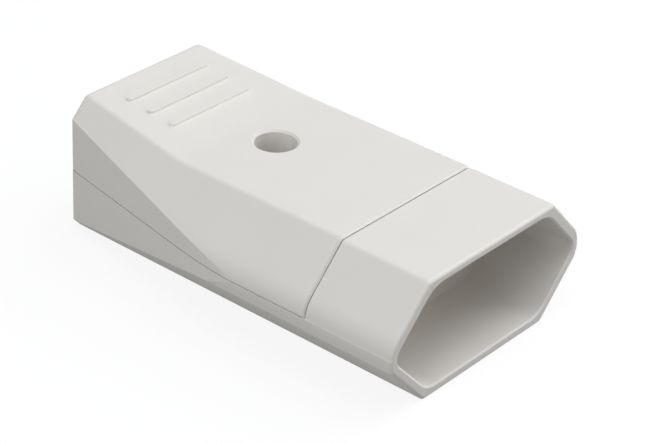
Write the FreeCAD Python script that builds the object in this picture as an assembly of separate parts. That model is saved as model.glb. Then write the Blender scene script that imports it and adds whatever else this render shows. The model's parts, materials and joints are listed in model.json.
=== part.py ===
import FreeCAD, Part
import math
import os
from FreeCAD import Vector

# Rewireable inline socket for a cord: a two-part moulded housing with a hexagonal plug recess at
# one end, a cord inlet at the other, and the contacts, terminals and cord clamp in between.
# Millimetres. +X points out of the plug mouth, +Z up, and the origin is on the resting face,
# below the middle of the housing. Places along the body are given as s, the distance behind
# the mouth face.

# Plug recess, set by the plug that goes in
recess_width = 38.3          # between the rounded side corners
recess_height = 15.8
recess_flat = 24.8           # length of the flat top and bottom
recess_depth = 12.8
recess_corner = 2.1          # radius of the two side corners
recess_soft = 4.5            # radius of the four other corners
recess_edge = 0.25           # bevel where the recess opens in the mouth face

# Housing walls round the recess
roof_wall = 1.3
floor_wall = 1.5
side_wall = 1.5
keel_wall = 1.5              # lower slanted walls
shell_wall = 1.7             # behind the recess
parting = 9.6                # height of the line where the two shells meet
edge_radius = 4.4            # the big soft side edge, widest at the parting line
ledge = 0.08                 # how far the lower half stands out past the upper one
strip_angle = 14.0           # lean of the strip below the parting line
long_edge = 1.0              # soft edges along the top and the bottom
mouth_edge = 0.5             # round the mouth
rear_edge = 0.8              # round the rear face
rear_share = 0.65            # of the lower slants' rear ends, the most that edge may take
seam_edge = 0.25             # bevel along the front of the cover

# Pins of the plug and the contacts that take them
pin_radius = 2.0
pin_length = 19.0
pin_spare = 0.5              # room past the tip
pin_spacing = 19.0           # line to neutral
earth_offset = 3.0           # earth pin above the line of the other two
entry_clearance = 0.25
entry_flare = 0.5
sleeve_clearance = 0.05
sleeve_wall = 0.65
sleeve_length = 9.2
sleeve_slit = 0.6
tail_thickness = 1.2
tab_length = 6.4
tab_width = 6.0

# Socket insert
plate_thickness = 3.0
plate_step = 0.3             # how far the plate reaches outside the recess outline
fit_clearance = 0.05
block_inset = 0.6
block_width = 28.8
chamber_gap = 0.25
insert_gap = 0.1
seam_lap = 1.6               # how far the collar reaches over the insert plate

# Springs round the sleeves
spring_wall = 0.5
spring_length = 4.5
spring_gap = 0.3             # each side of the tail that passes through the band's opening
spring_setback = 1.4

# Screws
thread_radius = 1.5
shank_clearance = 0.2
head_radius = 2.6
head_height = 1.9
slot_width = 0.8
slot_depth = 0.9
plate_side = 5.8             # square wire plate under a terminal screw
wire_plate_thickness = 1.0
wire_plate_clearance = 0.15
terminal_screw_length = 5.6
clamp_screw_length = 8.4
screw_spare = 0.4            # room below a screw's tip
nut_flats = 5.5
nut_height = 2.4
nut_recess = 0.6
nut_clearance = 0.1

# Screw access in the cover and the posts below it
access_radius = 3.1
access_soft = 0.3            # bevel round the hole
access_wall = 1.2
seat_rise = 1.3              # screw seat above the parting plane
post_radius = 3.5
post_gap = 1.5
strip_gap = 0.4
earth_limb = 2.2

# Cord clamp and inlet
cord_radius = 4.3
clamp_span = 17.2            # between the clamp screws
clamp_length = 4.4
clamp_thickness = 1.9
clamp_arch = 1.7
clamp_bite = 0.3             # the clamp closes this much inside the inlet size
clamp_gap = 2.2
boss_radius = 2.6
boss_drop = 0.5              # clamp bosses end this far below the bar's middle height
inlet_gap = 2.3
inlet_length = 6.0
inlet_wall = 1.5
inlet_flare = 0.8
pedestal_gap = 0.4

# Outer form towards the rear
taper_length = 32.4          # from the sharp start of the taper to the rear face
taper_angle = 11.0
taper_blend = 80.0
plan_margin = 0.15
rise_length = 20.4
rise_angle = 5.8
rise_blend = 40.0
cover_proud = 0.2            # the cover stands this much above the collar
cover_spread = 0.05          # and this much outside it at the sides
seam_gap = 0.26              # between the collar and the cover
groove_height = 0.14         # shadow line between the shells
groove_depth = 0.4

# Lip that lines the shells up
lip_width = 0.75
lip_height = 1.0
lip_clearance = 0.1

# Grip bars on the sloping rear of the cover
bar_count = 3
bar_length = 16.0
bar_width = 1.0
bar_height = 0.35
bar_pitch = 4.15
bar_setback = 5.25           # rear face to the middle of the last bar

# Places along the body, from the mouth back
plate_back = recess_depth + plate_thickness
collar_length = recess_depth + seam_lap
sleeve_front = plate_back + insert_gap
sleeve_back = sleeve_front + sleeve_length
insert_back = sleeve_back + insert_gap
pin_end = recess_depth + pin_length + pin_spare
access_outer = access_radius + access_wall
post_s = pin_end + post_gap + access_outer
earth_s = post_s + access_outer + pedestal_gap + tab_length / 2
clamp_s = earth_s + tab_length / 2 + clamp_gap + clamp_length / 2
inlet_s = clamp_s + clamp_length / 2 + inlet_gap
length = inlet_s + inlet_length

# Heights
height = floor_wall + recess_height + roof_wall
axis_z = floor_wall + recess_height / 2
side = recess_width / 2 + side_wall
sleeve_inner = pin_radius + sleeve_clearance
sleeve_outer = sleeve_inner + sleeve_wall
tail_half = sleeve_inner
chamber_radius = sleeve_outer + spring_wall + chamber_gap
earth_z = axis_z + earth_offset
taper = math.tan(math.radians(taper_angle))
rise = math.tan(math.radians(rise_angle))
rear_top = height + rise_length * rise

# Room for cutting tools that have to reach past the body
beyond = height / 2


def at(s):
    """X of a place given as a distance behind the mouth face."""
    return length / 2 - s


def on_section(u, v):
    return Vector(0, u, v)


def on_plan(u, v):
    return Vector(at(u), v, 0)


def on_side(u, v):
    return Vector(at(u), 0, v)


def rounded_face(corners, place):
    """Flat face from (u, v, radius) corners, with tangent arcs at the corners."""
    count = len(corners)
    ends = []
    for i in range(count):
        u, v, radius = corners[i]
        here = Vector(u, v, 0)
        back = (Vector(corners[i - 1][0], corners[i - 1][1], 0) - here).normalize()
        on = (Vector(corners[(i + 1) % count][0], corners[(i + 1) % count][1], 0) - here).normalize()
        half = back.getAngle(on) / 2
        if radius <= 0:
            ends.append((here, here, here))
            continue
        reach = radius / math.tan(half)
        middle = (back + on).normalize() * (radius / math.sin(half) - radius)
        ends.append((here + back * reach, here + middle, here + on * reach))
    edges = []
    for i in range(count):
        start, middle, stop = (place(p.x, p.y) for p in ends[i])
        if (stop - start).Length > 1e-6:
            edges.append(Part.Arc(start, middle, stop).toShape())
        following = place(ends[(i + 1) % count][0].x, ends[(i + 1) % count][0].y)
        if (following - stop).Length > 1e-6:
            edges.append(Part.LineSegment(stop, following).toShape())
    return Part.Face(Part.Wire(edges))


def mirrored(half):
    """Whole outline from its right half, listed from the bottom up."""
    return half + [(-u, v, radius) for u, v, radius in reversed(half)]


def meeting(first, second):
    """Where two lines in the section meet, each a point and a direction."""
    (p, q), (a, b) = first
    (r, t), (c, d) = second
    step = ((r - p) * d - (t - q) * c) / (a * d - b * c)
    return p + a * step, q + b * step


def slanted(start, stop, outward):
    """Line through two points, moved outwards to the right of its direction."""
    run = math.hypot(stop[0] - start[0], stop[1] - start[1])
    a = (stop[0] - start[0]) / run
    b = (stop[1] - start[1]) / run
    return (start[0] + b * outward, start[1] - a * outward), (a, b)


def recess_points():
    """Right half of the sharp recess hexagon: lower corner, side corner, upper corner."""
    low = (recess_flat / 2, floor_wall)
    high = (recess_flat / 2, floor_wall + recess_height)
    side_reach = recess_width / 2
    for _ in range(20):
        lean = math.atan2(recess_height / 2, side_reach - recess_flat / 2)
        side_reach = recess_width / 2 + recess_corner * (1 / math.sin(lean) - 1)
    return low, (side_reach, axis_z), high


def recess_section(grow, top=None):
    """Recess outline, grown outwards on all sides, with its upper slants run on to a given top."""
    low, corner, high = recess_points()
    keel = slanted(low, corner, grow)
    facet = slanted(corner, high, grow)
    floor = ((0, floor_wall - grow), (1, 0))
    roof = ((0, top or floor_wall + recess_height + grow), (1, 0))
    u, v = meeting(floor, keel)
    a, b = meeting(keel, facet)
    c, d = meeting(facet, roof)
    half = [(u, v, recess_soft), (a, b, recess_corner + grow), (c, d, recess_soft)]
    return rounded_face(mirrored(half), on_section)


def outer_section(grow, top):
    """Housing outline. Its slants run on up to the given top, where the side view trims it."""
    low, corner, high = recess_points()
    keel = slanted(low, corner, keel_wall + grow)
    lean = math.radians(strip_angle)
    reach = edge_radius + grow
    middle = (side - edge_radius, parting)
    # The upper slant is parallel to the recess and touches the big soft edge
    (p, q), (a, b) = slanted(corner, high, 0)
    facet = slanted(corner, high, (middle[0] - p) * b - (middle[1] - q) * a + reach)
    touch = (middle[0] + reach * math.cos(lean), middle[1] - reach * math.sin(lean))
    strip = (touch, (-math.sin(lean), -math.cos(lean)))
    u, v = meeting(((0, 0), (1, 0)), keel)
    a, b = meeting(keel, strip)
    c, d = meeting(strip, facet)
    e, f = meeting(facet, ((0, top), (1, 0)))
    half = [(u, v, 0), (a, b, 0), (c, d, reach), (e, f, 0)]
    return rounded_face(mirrored(half), on_section)


def plan_face(grow, front, back):
    """Outline from above: straight sides, then a taper towards the rear."""
    straight = side + plan_margin + grow
    lean = math.radians(taper_angle)
    line = ((length - taper_length, side), (math.cos(lean), -math.sin(lean)))
    line = ((line[0][0] + grow * math.sin(lean), line[0][1] + grow * math.cos(lean)), line[1])
    start, _ = meeting(line, ((0, straight), (1, 0)))
    _, end = meeting(line, ((back, 0), (0, 1)))
    right = [(back, end, 0), (start, straight, taper_blend), (front, straight, 0)]
    return rounded_face(right + [(u, -v, r) for u, v, r in reversed(right)], on_plan)


def side_face(grow, floor_z, front, back):
    """Outline from the side: level top, then a gentle rise towards the rear."""
    lean = math.radians(rise_angle)
    slope = ((length - rise_length, height), (math.cos(lean), math.sin(lean)))
    slope = ((slope[0][0] - grow * math.sin(lean), slope[0][1] + grow * math.cos(lean)), slope[1])
    level = height + grow
    start, _ = meeting(slope, ((0, level), (1, 0)))
    _, end = meeting(slope, ((back, 0), (0, 1)))
    corners = [(front, floor_z, 0), (back, floor_z, 0), (back, end, 0), (start, level, rise_blend)]
    corners.append((front, level, 0))
    return rounded_face(corners, on_side)


def trimmed(section, rise, spread, floor_z, front, back):
    """A section run along the body and trimmed by its outlines from the side and from above."""
    form = section.extrude(Vector(length + 2 * beyond, 0, 0))
    form.translate(Vector(at(length + beyond), 0, 0))
    view = side_face(rise, floor_z, front, back).extrude(Vector(0, 2 * (side + beyond), 0))
    view.translate(Vector(0, -(side + beyond), 0))
    plan = plan_face(spread, front, back).extrude(Vector(0, 0, rear_top + 2 * beyond))
    plan.translate(Vector(0, 0, -beyond))
    return form.common(view).common(plan).Solids[0].removeSplitter()


def housing(rise, spread, front, back):
    """The housing's outer form between two places, raised at the top and spread at the sides."""
    return trimmed(outer_section(spread, rear_top + beyond), rise, spread, 0, front, back)


def hollow(wall, front):
    """The room inside a wall of given thickness."""
    section = recess_section(side_wall - wall, rear_top + beyond)
    return trimmed(section, -wall, -wall, wall, front, length - wall)


def faces_by_edge(shape):
    """Each edge of a solid with the outward normals of its two faces."""
    table = []
    for edge in shape.Edges:
        middle = edge.valueAt((edge.FirstParameter + edge.LastParameter) / 2)
        normals = []
        for face in shape.ancestorsOfType(edge, Part.Face):
            u, v = face.Surface.parameter(middle)
            normals.append(face.normalAt(u, v))
        if len(normals) == 2:
            table.append((edge, normals, middle))
    return table


def softened(shape, radius, wanted):
    """Round the edges whose normals and middle pass the test."""
    edges = [edge for edge, normals, middle in faces_by_edge(shape) if wanted(normals, middle)]
    return shape.makeFillet(radius, edges) if edges else shape


def slab(low_s, high_s, low_z, high_z, half_width):
    """Box between two places and two heights, centred on the middle plane."""
    box = Part.makeBox(high_s - low_s, 2 * half_width, high_z - low_z)
    box.translate(Vector(at(high_s), -half_width, low_z))
    return box


def block(low_s, high_s, low_y, high_y, low_z, high_z):
    box = Part.makeBox(high_s - low_s, high_y - low_y, high_z - low_z)
    box.translate(Vector(at(high_s), low_y, low_z))
    return box


def upright(radius, s, y, low_z, high_z):
    """Vertical cylinder."""
    return Part.makeCylinder(radius, high_z - low_z, Vector(at(s), y, low_z), Vector(0, 0, 1))


def along(radius, low_s, high_s, y, z):
    """Cylinder along the body."""
    return Part.makeCylinder(radius, high_s - low_s, Vector(at(high_s), y, z), Vector(1, 0, 0))


def rear_radius():
    """Radius round the rear face, held within what the taper leaves of the lower slants."""
    low, corner, _ = recess_points()
    foot, _ = meeting(((0, 0), (1, 0)), slanted(low, corner, keel_wall))
    return min(rear_edge, rear_share * (side - taper_length * taper - foot))


def soft_housing(rise, spread, front):
    """Outer form with soft edges: first those along the body, then the rear face's."""
    form = housing(rise, spread, front, length)

    def lengthwise(normals, middle):
        low, high = sorted(n.z for n in normals)
        top = 0.3 < low < 0.9 and high > 0.95
        bottom = low < -0.95 and -0.9 < high < -0.3
        return top or bottom

    form = softened(form, long_edge, lengthwise)
    return softened(form, rear_radius(), lambda normals, middle: abs(middle.x - at(length)) < 1e-4)


seat_z = parting + seat_rise
cord_z = parting
tail_top = {"line": axis_z - sleeve_inner, "neutral": axis_z - sleeve_inner,
            "earth": earth_z - sleeve_inner}
terminals = {"line": (post_s, pin_spacing / 2), "neutral": (post_s, -pin_spacing / 2),
             "earth": (earth_s, 0.0)}
sleeves = {"line": (pin_spacing / 2, axis_z), "neutral": (-pin_spacing / 2, axis_z),
           "earth": (0.0, earth_z)}
bar_low = cord_z + boss_drop
screw_y = clamp_span / 2


def base_shell():
    """Lower shell with the whole collar in one piece, posts, pedestals and clamp bosses."""
    def at_mouth(normals, middle):
        return abs(middle.x - at(0)) < 1e-4

    form = softened(soft_housing(0, 0, 0), mouth_edge, at_mouth)
    form = form.common(slab(0, length, 0, parting, side + beyond))
    collar = softened(soft_housing(0, -ledge, 0), mouth_edge, at_mouth)
    form = form.fuse(collar.common(slab(0, collar_length, parting, rear_top, side + beyond)))
    recess = recess_section(0).extrude(Vector(recess_depth, 0, 0))
    recess.translate(Vector(at(recess_depth), 0, 0))
    wide = recess_section(recess_edge).OuterWire
    wide.translate(Vector(at(0), 0, 0))
    narrow = recess_section(0).OuterWire
    narrow.translate(Vector(at(recess_edge), 0, 0))
    bevel = Part.makeLoft([wide, narrow], True, True)
    pocket_end = insert_back + seam_lap + insert_gap
    pocket = recess_section(plate_step + fit_clearance)
    pocket = pocket.extrude(Vector(pocket_end - recess_depth, 0, 0))
    pocket.translate(Vector(at(pocket_end), 0, 0))
    room = hollow(shell_wall, plate_back)
    form = form.cut(recess).cut(bevel).cut(pocket).cut(room)
    # The lip stands up inside the cover's wall
    lip = hollow(shell_wall - lip_width, plate_back + seam_lap).cut(room)
    lip = lip.common(slab(plate_back + seam_lap, length, parting - lip_height, parting + lip_height, side))
    lip = lip.cut(along(cord_radius + inlet_wall + lip_clearance, inlet_s, length, 0, cord_z))
    form = form.fuse(lip)
    # Supports that rise from the floor
    floor_z = floor_wall / 2
    supports = [upright(post_radius, post_s, 0, floor_z, parting)]
    for name in ("line", "neutral", "earth"):
        s, y = terminals[name]
        low_s = s - tab_length / 2 if name != "earth" else s - tab_length / 2 + pedestal_gap
        high_s = s + tab_length / 2 - pedestal_gap
        top = tail_top[name] - tail_thickness
        width = tab_width / 2 - pedestal_gap
        supports.append(block(low_s, high_s, y - width, y + width, floor_z, top))
    for y in (screw_y, -screw_y):
        supports.append(upright(boss_radius, clamp_s, y, floor_z, bar_low))
    saddle_half = clamp_length / 2 - pedestal_gap
    supports.append(slab(clamp_s - saddle_half, clamp_s + saddle_half, floor_z, cord_z - boss_drop, screw_y))
    supports.append(along(cord_radius + inlet_wall, inlet_s, length - shell_wall / 2, 0, cord_z)
                    .common(slab(inlet_s, length, 0, parting, side)))
    form = form.fuse(supports)
    # Holes in the supports
    for name in ("line", "neutral", "earth"):
        s, y = terminals[name]
        top = tail_top[name] - tail_thickness
        depth = terminal_screw_length - wire_plate_thickness - tail_thickness + screw_spare
        form = form.cut(upright(thread_radius + shank_clearance, s, y, top - depth, top))
    for y in (screw_y, -screw_y):
        depth = clamp_screw_length - clamp_thickness + screw_spare
        form = form.cut(upright(thread_radius, clamp_s, y, bar_low - depth, bar_low))
    form = form.cut(upright(thread_radius + shank_clearance, post_s, 0, -beyond, parting))
    form = form.cut(nut_prism(nut_clearance, -beyond, nut_recess + nut_height))
    form = form.cut(cord_bore())
    form = form.cut(along(cord_radius - clamp_bite, clamp_s - clamp_length, clamp_s + clamp_length, 0, cord_z))
    return form.removeSplitter()


def cord_bore():
    """Round inlet with a flared mouth at the rear face."""
    bore = along(cord_radius, inlet_s - 1, length + 1, 0, cord_z)
    flare = Part.makeCone(cord_radius, cord_radius + inlet_flare + 1, inlet_flare + 1,
                          Vector(at(length - inlet_flare), 0, cord_z), Vector(-1, 0, 0))
    return bore.fuse(flare)


def nut_prism(grow, low_z, high_z):
    """Hexagon across the body, for the nut and for the pocket that holds it."""
    radius = (nut_flats / 2 + grow) / math.cos(math.pi / 6)
    points = [Vector(at(post_s) + radius * math.cos(k * math.pi / 3), radius * math.sin(k * math.pi / 3), low_z)
              for k in range(7)]
    return Part.Face(Part.makePolygon(points)).extrude(Vector(0, 0, high_z - low_z))


def grip_bar(s):
    """Low bar across the cover with round ends, following the slope."""
    reach = bar_length / 2 - bar_width / 2
    form = slab(s - bar_width / 2, s + bar_width / 2, height - shell_wall, rear_top + beyond, reach)
    for y in (reach, -reach):
        form = form.fuse(upright(bar_width / 2, s, y, height - shell_wall, rear_top + beyond))
    return form.common(housing(cover_proud + bar_height, 0, collar_length, length))


def top_cover():
    """Upper shell: sloping rear with grip bars, screw tube and pads that hold the insert."""
    front = collar_length + seam_gap
    spread = cover_spread - ledge
    form = soft_housing(cover_proud, spread, front)
    rim = [edge for edge, _, middle in faces_by_edge(form) if abs(middle.x - at(front)) < 1e-4]
    form = form.makeChamfer(seam_edge, rim)
    form = form.common(slab(front, length, parting, rear_top + beyond, side + beyond))
    # A shadow line runs round the foot of its wall
    groove = slab(front, length, parting, parting + groove_height, side + beyond)
    form = form.cut(groove.cut(housing(0, spread - groove_depth, 0, length - groove_depth)))
    for k in range(bar_count):
        form = form.fuse(grip_bar(length - bar_setback - k * bar_pitch))
    room = hollow(shell_wall, plate_back + insert_gap)
    pocket = recess_section(plate_step + fit_clearance)
    pocket = pocket.extrude(Vector(plate_back + insert_gap - recess_depth, 0, 0))
    pocket.translate(Vector(at(plate_back + insert_gap), 0, 0))
    rebate_wall = shell_wall - lip_width - lip_clearance
    rebate = hollow(rebate_wall, plate_back + seam_lap - lip_clearance)
    rebate = rebate.common(slab(0, length, parting - 1, parting + lip_height + lip_clearance, side))
    throat = along(cord_radius + inlet_wall, inlet_s, length - shell_wall / 2, 0, cord_z)
    throat = throat.common(slab(inlet_s, length, parting, rear_top, side))
    form = form.cut(room).cut(pocket).cut(rebate)
    roof_z = height - shell_wall / 2
    tube = upright(access_outer, post_s, 0, seat_z, roof_z)
    foot = upright(post_radius, post_s, 0, parting, seat_z)
    parts = [tube, foot, throat]
    pad_low = axis_z + chamber_radius + pedestal_gap
    pad_out = recess_flat / 2 - pedestal_gap
    pad_in = chamber_radius + block_inset
    for low_y, high_y in ((pad_in, pad_out), (-pad_out, -pad_in)):
        parts.append(block(insert_back, insert_back + plate_thickness / 2, low_y, high_y, pad_low, roof_z))
    form = form.fuse(parts)
    form = form.cut(upright(access_radius, post_s, 0, seat_z, rear_top + beyond))
    form = form.cut(upright(thread_radius + shank_clearance, post_s, 0, parting - 1, seat_z))
    form = form.cut(cord_bore())
    form = form.cut(Part.makeCone(access_radius, access_radius + 2 * access_soft, 2 * access_soft,
                                  Vector(at(post_s), 0, height + cover_proud - access_soft)))
    return form.removeSplitter()


def socket_insert():
    """Moulded insert: face plate with the pin entries and a block with the contact chambers."""
    plate = recess_section(plate_step).extrude(Vector(plate_thickness, 0, 0))
    plate.translate(Vector(at(plate_back), 0, 0))
    core = recess_section(-block_inset).extrude(Vector(insert_back - recess_depth, 0, 0))
    core.translate(Vector(at(insert_back), 0, 0))
    core = core.common(slab(plate_back - 1, insert_back, 0, height, block_width / 2))
    form = plate.fuse(core)
    for y, z in sleeves.values():
        form = form.cut(along(chamber_radius, plate_back, insert_back + 1, y, z))
        form = form.cut(along(pin_radius + entry_clearance, recess_depth - 1, plate_back + 1, y, z))
        reach = pin_radius + entry_clearance
        flare = Part.makeCone(reach, reach + entry_flare, entry_flare,
                              Vector(at(recess_depth + entry_flare), y, z), Vector(1, 0, 0))
        form = form.cut(flare)
    # The tails leave through slots in the chamber floors
    for name in ("line", "neutral", "earth"):
        y, z = sleeves[name]
        low = tail_top[name] - tail_thickness - chamber_gap
        width = sleeve_outer + chamber_gap
        form = form.cut(block(plate_back, insert_back + 1, y - width, y + width, low, z))
    return form.removeSplitter()


def contact(name):
    """Slit sleeve for one pin, with a flat tail that runs under the pin to its terminal."""
    y, z = sleeves[name]
    s, tab_y = terminals[name]
    top = tail_top[name]
    low = top - tail_thickness
    tube = along(sleeve_outer, sleeve_front, sleeve_back, y, z)
    tab_half = tab_width / 2
    if name == "earth":
        limb_in = post_radius + strip_gap
        limb_out = limb_in + earth_limb
        front_end = post_s - post_radius - strip_gap
        outline = [(sleeve_front, -tail_half), (front_end, -tail_half), (front_end, limb_in),
                   (s - tab_length / 2, limb_in), (s - tab_length / 2, -tab_half),
                   (s + tab_length / 2, -tab_half), (s + tab_length / 2, limb_out),
                   (front_end - earth_limb, limb_out), (front_end - 2 * earth_limb, tail_half),
                   (sleeve_front, tail_half)]
    else:
        widen = s - tab_length / 2
        outline = [(sleeve_front, tab_y - tail_half), (widen - 1, tab_y - tail_half),
                   (widen, tab_y - tab_half), (s + tab_length / 2, tab_y - tab_half),
                   (s + tab_length / 2, tab_y + tab_half), (widen, tab_y + tab_half),
                   (widen - 1, tab_y + tail_half), (sleeve_front, tab_y + tail_half)]
    points = [Vector(at(u), v, low) for u, v in outline]
    tail = Part.Face(Part.makePolygon(points + points[:1])).extrude(Vector(0, 0, tail_thickness))
    form = tube.fuse(tail)
    form = form.cut(along(sleeve_inner, sleeve_front - 1, sleeve_back + 1, y, z))
    # A slit along the top lets the sleeve spring open
    slit_end = sleeve_back - sleeve_wall * 2
    form = form.cut(block(sleeve_front - 1, slit_end, y - sleeve_slit / 2, y + sleeve_slit / 2,
                          z, z + 2 * sleeve_outer))
    form = form.cut(upright(thread_radius, s, tab_y, low - 1, top + 1))
    return form.removeSplitter()


def contact_spring(name):
    """Steel band round the sleeve that keeps it tight on the pin."""
    y, z = sleeves[name]
    front = sleeve_front + spring_setback
    band = along(sleeve_outer + spring_wall, front, front + spring_length, y, z)
    band = band.cut(along(sleeve_outer, front - 1, front + spring_length + 1, y, z))
    low = tail_top[name] - tail_thickness
    open_half = tail_half + spring_gap
    return band.cut(block(front - 1, front + spring_length + 1, y - open_half, y + open_half, low - 1, z))


def wire_plate(name):
    """Square plate that the terminal screw presses on the wire."""
    s, y = terminals[name]
    low = tail_top[name]
    half = plate_side / 2
    form = block(s - half, s + half, y - half, y + half, low, low + wire_plate_thickness)
    return form.cut(upright(thread_radius + wire_plate_clearance, s, y, low - 1, low + 2))


def screw(s, y, seat, shank_length, across):
    """Cheese-head screw with a slot, standing on its seat."""
    shank = upright(thread_radius, s, y, seat - shank_length, seat)
    top = seat + head_height
    head = upright(head_radius, s, y, seat, top)
    if across:
        slot = block(s - head_radius, s + head_radius, y - slot_width / 2, y + slot_width / 2,
                     top - slot_depth, top + 1)
    else:
        slot = block(s - slot_width / 2, s + slot_width / 2, y - head_radius, y + head_radius,
                     top - slot_depth, top + 1)
    return shank.fuse(head).cut(slot).removeSplitter()


def cord_clamp():
    """Bridge that presses the cord on its saddle."""
    half = clamp_length / 2
    reach = screw_y + boss_radius
    form = slab(clamp_s - half, clamp_s + half, bar_low, bar_low + clamp_thickness, reach)
    form = form.fuse(along(cord_radius + clamp_arch, clamp_s - half, clamp_s + half, 0, cord_z)
                     .common(slab(clamp_s - half, clamp_s + half, bar_low, rear_top, side)))
    form = form.cut(along(cord_radius - clamp_bite, clamp_s - 2 * half, clamp_s + 2 * half, 0, cord_z))
    for y in (screw_y, -screw_y):
        form = form.cut(upright(thread_radius + shank_clearance, clamp_s, y, bar_low - 1, rear_top))
    return form.removeSplitter()


def cover_nut():
    nut = nut_prism(0, nut_recess, nut_recess + nut_height)
    return nut.cut(upright(thread_radius, post_s, 0, 0, nut_recess + nut_height + 1))


parts = {"base_shell": base_shell(), "top_cover": top_cover(), "socket_insert": socket_insert()}
for name in ("line", "neutral", "earth"):
    s, y = terminals[name]
    seat = tail_top[name] + wire_plate_thickness
    parts[name + "_contact"] = contact(name)
    parts[name + "_contact_spring"] = contact_spring(name)
    parts[name + "_wire_plate"] = wire_plate(name)
    parts[name + "_terminal_screw"] = screw(s, y, seat, terminal_screw_length, name == "earth")
parts["cord_clamp"] = cord_clamp()
clamp_seat = bar_low + clamp_thickness
parts["clamp_screw_left"] = screw(clamp_s, screw_y, clamp_seat, clamp_screw_length, True)
parts["clamp_screw_right"] = screw(clamp_s, -screw_y, clamp_seat, clamp_screw_length, True)
parts["cover_screw"] = screw(post_s, 0, seat_z, seat_z - nut_recess, False)
parts["cover_nut"] = cover_nut()

os.makedirs("parts", exist_ok=True)
for name, shape in parts.items():
    shape.exportStep("parts/" + name + ".step")
    box = shape.BoundBox
    print(name, len(shape.Solids), "solid", round(shape.Volume, 1), "mm3, valid", shape.isValid(),
          [round(v, 2) for v in (box.XMin, box.XMax, box.YMin, box.YMax, box.ZMin, box.ZMax)])
print("parting", round(parting, 2), "length", round(length, 2), "height", round(height, 2))
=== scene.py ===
# %% [markdown]
# # An inline socket, dressed for its picture
# The object is a white moulded socket for the end of a cord. It opens with one screw and holds
# brass contacts inside. The solid pieces come ready made, at their real size, and stay as they
# are. This file gives them a camera, a floor, light and finishes. Lengths are in metres. +X
# points out of the plug mouth and +Z points up.

# %% Load the solid pieces
import bmesh
import bpy
import json
import math
from mathutils import Matrix, Vector

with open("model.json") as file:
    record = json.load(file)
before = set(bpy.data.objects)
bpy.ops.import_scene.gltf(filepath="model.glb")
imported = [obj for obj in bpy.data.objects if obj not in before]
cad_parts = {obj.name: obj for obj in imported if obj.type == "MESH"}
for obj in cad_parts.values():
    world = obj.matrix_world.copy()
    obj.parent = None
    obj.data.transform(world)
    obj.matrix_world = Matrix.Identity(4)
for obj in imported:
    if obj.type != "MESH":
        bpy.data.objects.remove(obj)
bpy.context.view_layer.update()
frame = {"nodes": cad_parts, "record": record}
nodes = frame["nodes"]
MM = 0.001


# %% [markdown]
# ## Camera
# A picture can be matched only from where it was taken. The place of the lens was worked out from
# the corners of the housing: it looks down by about 31 degrees, from the side of the plug mouth,
# and is tilted by 3 degrees. A long lens, about 123 mm on a 36 mm sensor, keeps the far end
# nearly as large as the near one. Azimuth and elevation say where the camera stands, and they
# are easier to read than a matrix.

# %% Place the camera
AZIMUTH = math.radians(38.65)
ELEVATION = math.radians(30.68)
ROLL = math.radians(3.08)
LENS_MM = 123.45
SENSOR_MM = 36.0
NEAREST_SEEN = 0.01
FURTHEST_SEEN = 20
CAMERA_AT = Vector((0.17485, -0.2125, 0.17175))


def camera_axes(azimuth, elevation, roll):
    """Right, up and backward directions of a camera that looks at the object."""
    back = Vector((math.sin(azimuth) * math.cos(elevation),
                   -math.cos(azimuth) * math.cos(elevation), math.sin(elevation)))
    right = Vector((math.cos(azimuth), math.sin(azimuth), 0))
    up = back.cross(right)
    turned_right = right * math.cos(roll) + up * math.sin(roll)
    turned_up = up * math.cos(roll) - right * math.sin(roll)
    return turned_right, turned_up, back


lens = bpy.data.cameras.new("photo_camera")
lens.lens = LENS_MM
lens.sensor_width = SENSOR_MM
lens.clip_start = NEAREST_SEEN
lens.clip_end = FURTHEST_SEEN
camera = bpy.data.objects.new("photo_camera", lens)
bpy.context.scene.collection.objects.link(camera)
facing = Matrix(camera_axes(AZIMUTH, ELEVATION, ROLL)).transposed()
camera.matrix_world = Matrix.Translation(CAMERA_AT) @ facing.to_4x4()
bpy.context.scene.camera = camera
print("camera", [round(v, 3) for v in CAMERA_AT], "lens", lens.lens, "mm")

# %% [markdown]
# ## Shader maths
# Blender's materials are graphs of nodes. Written out by hand, a graph hides its idea in wiring.
# This small class wraps one output socket and overloads the operators, so that an expression
# such as `1 - mask * 0.3` adds its Math nodes by itself. Python tries the second operand's
# reflected method when the first is a plain number, and so both orders work.

# %% Arithmetic on sockets


class Wire:
    """One output socket of a node tree, with arithmetic."""

    def __init__(self, tree, socket):
        self.tree = tree
        self.socket = socket

    def math(self, operation, other, turned=False):
        """A Math node on this socket and another value, or the other way round."""
        made = self.tree.nodes.new("ShaderNodeMath")
        made.operation = operation
        values = (other, self) if turned else (self, other)
        for place, value in zip(made.inputs, values):
            join(self.tree, value, place)
        return Wire(self.tree, made.outputs[0])

    def __add__(self, other):
        return self.math("ADD", other)

    def __radd__(self, other):
        return self.math("ADD", other, True)

    def __sub__(self, other):
        return self.math("SUBTRACT", other)

    def __rsub__(self, other):
        return self.math("SUBTRACT", other, True)

    def __mul__(self, other):
        return self.math("MULTIPLY", other)

    def __rmul__(self, other):
        return self.math("MULTIPLY", other, True)


def join(tree, value, place):
    """Put a number, a colour or a wire into a socket."""
    if isinstance(value, Wire):
        tree.links.new(value.socket, place)
    else:
        place.default_value = value


print("sockets can be added, subtracted and multiplied")

# %% [markdown]
# Every other node comes from one method, `node`. It takes the node's type, its settings and what
# its sockets hold, so that a finish reads as a list of what it is made of. A world is a graph of
# the same kind as a material, so one class serves both.

# %% Nodes in one call
WHITE = (1, 1, 1, 1)


def grey(level):
    return (level, level, level, 1)


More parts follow.
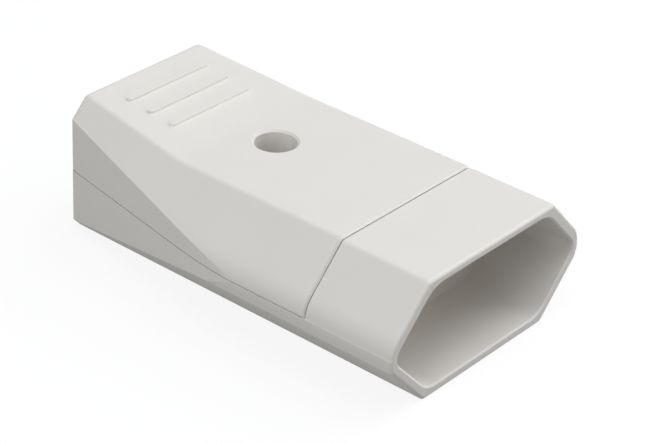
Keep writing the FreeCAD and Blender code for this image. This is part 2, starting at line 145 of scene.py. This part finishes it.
class Finish:
    """A material or a world whose nodes are added one call at a time."""

    def __init__(self, owner):
        owner.use_nodes = True
        self.owner = owner
        self.tree = owner.node_tree
        self.tree.nodes.clear()

    def node(self, kind, settings=None, inputs=None, output=0):
        """Add a node, and give back one of its outputs."""
        made = self.tree.nodes.new("ShaderNode" + kind)
        for key, value in (settings or {}).items():
            setattr(made, key, value)
        for key, value in (inputs or {}).items():
            join(self.tree, value, made.inputs[key])
        return Wire(self.tree, made.outputs[output])

    def surface(self, shader, kind="OutputMaterial"):
        """Make a shader the surface of the whole material or world."""
        end = self.tree.nodes.new("ShaderNode" + kind)
        join(self.tree, shader, end.inputs["Surface"])
        print("finish", self.owner.name, "with", len(self.tree.nodes), "nodes")
        return self.owner


def new_finish(name):
    return Finish(bpy.data.materials.new(name))


print("a grey of one half is", grey(0.5))

# %% [markdown]
# ## Floor, background and light
# The object stands alone on white. If lamps made the floor that white, they would also wash out
# the plastic, so the floor has two faces: light sees a plain grey, while the camera and mirror
# reflections see a nearly white sheet that still takes the shadow. The grey throws little light
# back up, and so keeps the slants that turn down as dark as they should be. The floor lies a hair
# below the resting face, because two faces in one plane flicker.

# %% Floor
FLOOR_GREY = 0.25
FLOOR_WHITE = 0.15
FLOOR_LIFT = 0.865
FLOOR_SIZE = 6.0
FLOOR_GAP = 0.02 * MM


def seen_rays(finish):
    """1 for what the camera or a reflection sees, and 0 for light that lands on the object."""
    camera_ray = finish.node("LightPath", output="Is Camera Ray")
    glossy_ray = finish.node("LightPath", output="Is Glossy Ray")
    passed_ray = finish.node("LightPath", output="Is Transmission Ray")
    return camera_ray.math("MAXIMUM", glossy_ray).math("MAXIMUM", passed_ray)


def white_floor():
    """The grey that light sees, and over it the lifted sheet that is looked at."""
    finish = new_finish("white_floor")
    for_light = finish.node("BsdfDiffuse", None, {"Color": grey(FLOOR_GREY)})
    sheet = finish.node("BsdfDiffuse", None, {"Color": grey(FLOOR_WHITE)})
    lift = finish.node("Emission", None, {"Color": WHITE, "Strength": FLOOR_LIFT})
    for_eye = finish.node("AddShader", None, {0: sheet, 1: lift})
    both = finish.node("MixShader", None, {0: seen_rays(finish), 1: for_light, 2: for_eye})
    return finish.surface(both)


def new_piece(name, grid):
    """Turn a bmesh into an object at the origin."""
    mesh = bpy.data.meshes.new(name)
    grid.to_mesh(mesh)
    grid.free()
    piece = bpy.data.objects.new(name, mesh)
    bpy.context.scene.collection.objects.link(piece)
    return piece


grid = bmesh.new()
bmesh.ops.create_grid(grid, x_segments=1, y_segments=1, size=FLOOR_SIZE / 2)
bmesh.ops.translate(grid, verts=grid.verts, vec=(0, 0, -FLOOR_GAP))
floor = new_piece("floor", grid)
floor.data.materials.append(white_floor())
print("floor", FLOOR_SIZE, "m across")

# %% [markdown]
# Past the floor's edge the world takes over. It is white where it is looked at or mirrored, and
# gives no light of its own, so that the lamps alone shape the object.

# %% Room


def white_room():
    room = Finish(bpy.data.worlds.new("white_room"))
    white = room.node("Background", None, {"Color": WHITE, "Strength": seen_rays(room)})
    return room.surface(white, "OutputWorld")


bpy.context.scene.world = white_room()

# %% [markdown]
# The faces tell where the light is. The top is the brightest, the slanted side has four fifths of
# its light, the ring round the mouth three quarters, the upright side over half, and the
# underslung band less than half. The recess falls off quickly to a dark end, so little light
# comes in level through the mouth. Five large soft lamps do that: one above, one high behind, one
# at each side, and a weak one before the mouth. Light adds up, so each lamp was first rendered
# alone, and the shares were worked out from what each gave to every face. The upper lamps are a
# little cool and the plastic a little warm. On top that makes a neutral white, and in the recess,
# where light bounces from wall to wall, the warmth adds up as it does on the real one.

# %% Lamps
LAMP_DISTANCE = 0.7
LAMP_SIZE = 0.6
COOL = (1.0, 1.027, 1.065)
EVEN = (1.0, 1.002, 0.996)
PALE = (1.0, 1.024, 1.038)
# Each lamp: the direction it stands in, its share of white, and its tint.
LAMPS = {
    "lamp_above": ((0.1, -0.1, 1.0), 0.41, COOL),
    "lamp_behind": ((0.1, 0.6, 0.78), 0.42, COOL),
    "lamp_mouth": ((1.0, 0.1, 0.35), 0.205, EVEN),
    "lamp_far_side": ((0.45, 0.85, 0.35), 0.47, EVEN),
    "lamp_near_side": ((0.0, -1.0, 0.4), 0.52, PALE),
}


def soft_lamp(name, direction, share, tint):
    """Square lamp that lights a white sheet facing it to the given share of white."""
    lamp = bpy.data.lights.new(name, "AREA")
    lamp.color = tint
    lamp.size = LAMP_SIZE
    lamp.energy = share * math.pi ** 2 * LAMP_DISTANCE ** 2
    holder = bpy.data.objects.new(name, lamp)
    holder.location = Vector(direction).normalized() * LAMP_DISTANCE
    holder.rotation_mode = "QUATERNION"
    holder.rotation_quaternion = holder.location.to_track_quat("Z", "Y")
    bpy.context.scene.collection.objects.link(holder)
    print("lamp", name, round(lamp.energy, 2), "W")


for name, (direction, share, tint) in LAMPS.items():
    soft_lamp(name, direction, share, tint)
bpy.context.scene.view_settings.view_transform = "Standard"

# %% [markdown]
# ## White housing plastic
# Both shells are moulded in the same satin plastic, and the tool left a very fine grain on them.
# A painted texture would need an unwrapped mesh. Noise that is read at each point of the object
# needs none, and it runs across the two shells without a break. Two sizes of it are used: one of
# a fifth of a millimetre for the grain, and one of some millimetres for the slow unevenness of a
# moulded wall, which keeps broad faces from looking drawn. The plastic is satin and not glossy,
# with a high roughness and a low specular level. A smoother one mirrors the white floor where it
# is seen at a flat angle, and that lights up the slants that turn down.

# %% Housing finish
HOUSING_WHITE = (0.80, 0.772, 0.732, 1)
HOUSING_SHADE = (0.765, 0.738, 0.700, 1)
PLASTIC_IOR = 1.5
PLASTIC_SPECULAR = 0.2
PLASTIC_GRAIN_DEPTH_MM = 0.004
PLASTIC_ROUGHNESS_SPREAD = 0.06
WALL_WAVE_MM = 9.0
WALL_WAVE_SHARE = 0.5
NOISE_MIDDLE = 0.5


def lumps(finish, size_mm, detail=2.0):
    """Noise whose lumps have the given size, read at each point of the object."""
    place = finish.node("TexCoord", output="Object")
    return finish.node("TexNoise", None,
                       {"Vector": place, "Scale": 1 / (size_mm * MM), "Detail": detail})


def blend(finish, mask, first, second):
    """Two colours mixed by a mask. A Mix node's third output is its colour."""
    return finish.node("Mix", {"data_type": "RGBA"},
                       {"Factor": mask, "A": first, "B": second}, output=2)


def relief(finish, depth_mm, height):
    """A height from 0 to 1 as a relief of the given depth."""
    return finish.node("Bump", None,
                       {"Strength": 1.0, "Distance": depth_mm * MM, "Height": height})


def satin_plastic(name, pale, shade, roughness, grain_mm):
    """Moulded plastic with a fine grain and slow changes of tone."""
    finish = new_finish(name)
    wave = lumps(finish, WALL_WAVE_MM)
    grain = lumps(finish, grain_mm) + wave * WALL_WAVE_SHARE
    return finish.surface(finish.node("BsdfPrincipled", None, {
        "Base Color": blend(finish, wave, shade, pale),
        "Roughness": (wave - NOISE_MIDDLE) * PLASTIC_ROUGHNESS_SPREAD + roughness,
        "Normal": relief(finish, PLASTIC_GRAIN_DEPTH_MM, grain),
        "IOR": PLASTIC_IOR, "Specular IOR Level": PLASTIC_SPECULAR}))


housing_plastic = satin_plastic("housing_plastic", HOUSING_WHITE, HOUSING_SHADE,
                                roughness=0.62, grain_mm=0.22)

# %% [markdown]
# ## Inner plastic and metals
# The pin entries show a glimpse of brass, and the rest shows when the housing is off. The insert
# is a tougher plastic than the housing, and is made as the housing is. Its colour is made a
# little darker and warmer than the housing's as painted shade for the deep end of the recess,
# where its face stands. The contacts are stamped brass that has dulled in spots, the springs are
# bare steel, and the screws, the nut and the wire plates have a thin zinc coat. All four metals
# are one recipe, whose colour and roughness follow the same noise, so that a dull spot is also a
# rough one.

# %% Other finishes
# The insert's two colours are darkened and warmed: painted shade for the deep end of the recess.
INSERT_PALE_WITH_PAINTED_SHADE = (0.69, 0.65, 0.60, 1)
INSERT_DARK_WITH_PAINTED_SHADE = (0.655, 0.617, 0.567, 1)
BRASS = (0.78, 0.58, 0.28, 1)
BARE_STEEL = (0.50, 0.50, 0.52, 1)
ZINC = (0.66, 0.66, 0.64, 1)
BRIGHT_ZINC = (0.68, 0.68, 0.67, 1)
METAL_DULLED_TO = 0.72
METAL_MARK_DETAIL = 4.0
METAL_MARK_DEPTH_MM = 0.002
METAL_ROUGHNESS_SPREAD = 0.2


def metal(name, colour, roughness, mark_mm):
    """Metal that is duller and rougher in spots."""
    finish = new_finish(name)
    marks = lumps(finish, mark_mm, METAL_MARK_DETAIL)
    dulled = tuple(part * METAL_DULLED_TO for part in colour[:3]) + (1,)
    return finish.surface(finish.node("BsdfPrincipled", None, {
        "Base Color": blend(finish, marks, dulled, colour), "Metallic": 1.0,
        "Roughness": (marks - NOISE_MIDDLE) * METAL_ROUGHNESS_SPREAD + roughness,
        "Normal": relief(finish, METAL_MARK_DEPTH_MM, marks)}))


finishes = {
    "housing": housing_plastic,
    # The insert's darker, warmer colour is painted shade for the deep end of the recess.
    "insert": satin_plastic("insert_plastic_painted_shade", INSERT_PALE_WITH_PAINTED_SHADE, INSERT_DARK_WITH_PAINTED_SHADE,
                            roughness=0.5, grain_mm=0.3),
    "contact_brass": metal("stamped_brass", BRASS, roughness=0.36, mark_mm=0.6),
    "spring_steel": metal("spring_steel", BARE_STEEL, roughness=0.34, mark_mm=0.5),
    "plated_steel": metal("plated_steel", ZINC, roughness=0.38, mark_mm=0.7),
    "screw_steel": metal("screw_steel", BRIGHT_ZINC, roughness=0.32, mark_mm=0.4),
}

# %% [markdown]
# ## Dress the pieces
# The record that came with the solids names a slot for each piece, so the finishes are handed out
# by that list and not by a second one here, which could fall out of step with it.

# %% Hand out the finishes
subparts = frame["record"]["subparts"]
for subpart in subparts:
    piece = nodes[subpart["node"]]
    piece.data.materials.clear()
    piece.data.materials.append(finishes[subpart["material_slot"]])
print("dressed", len(subparts), "pieces in", len(finishes), "finishes")
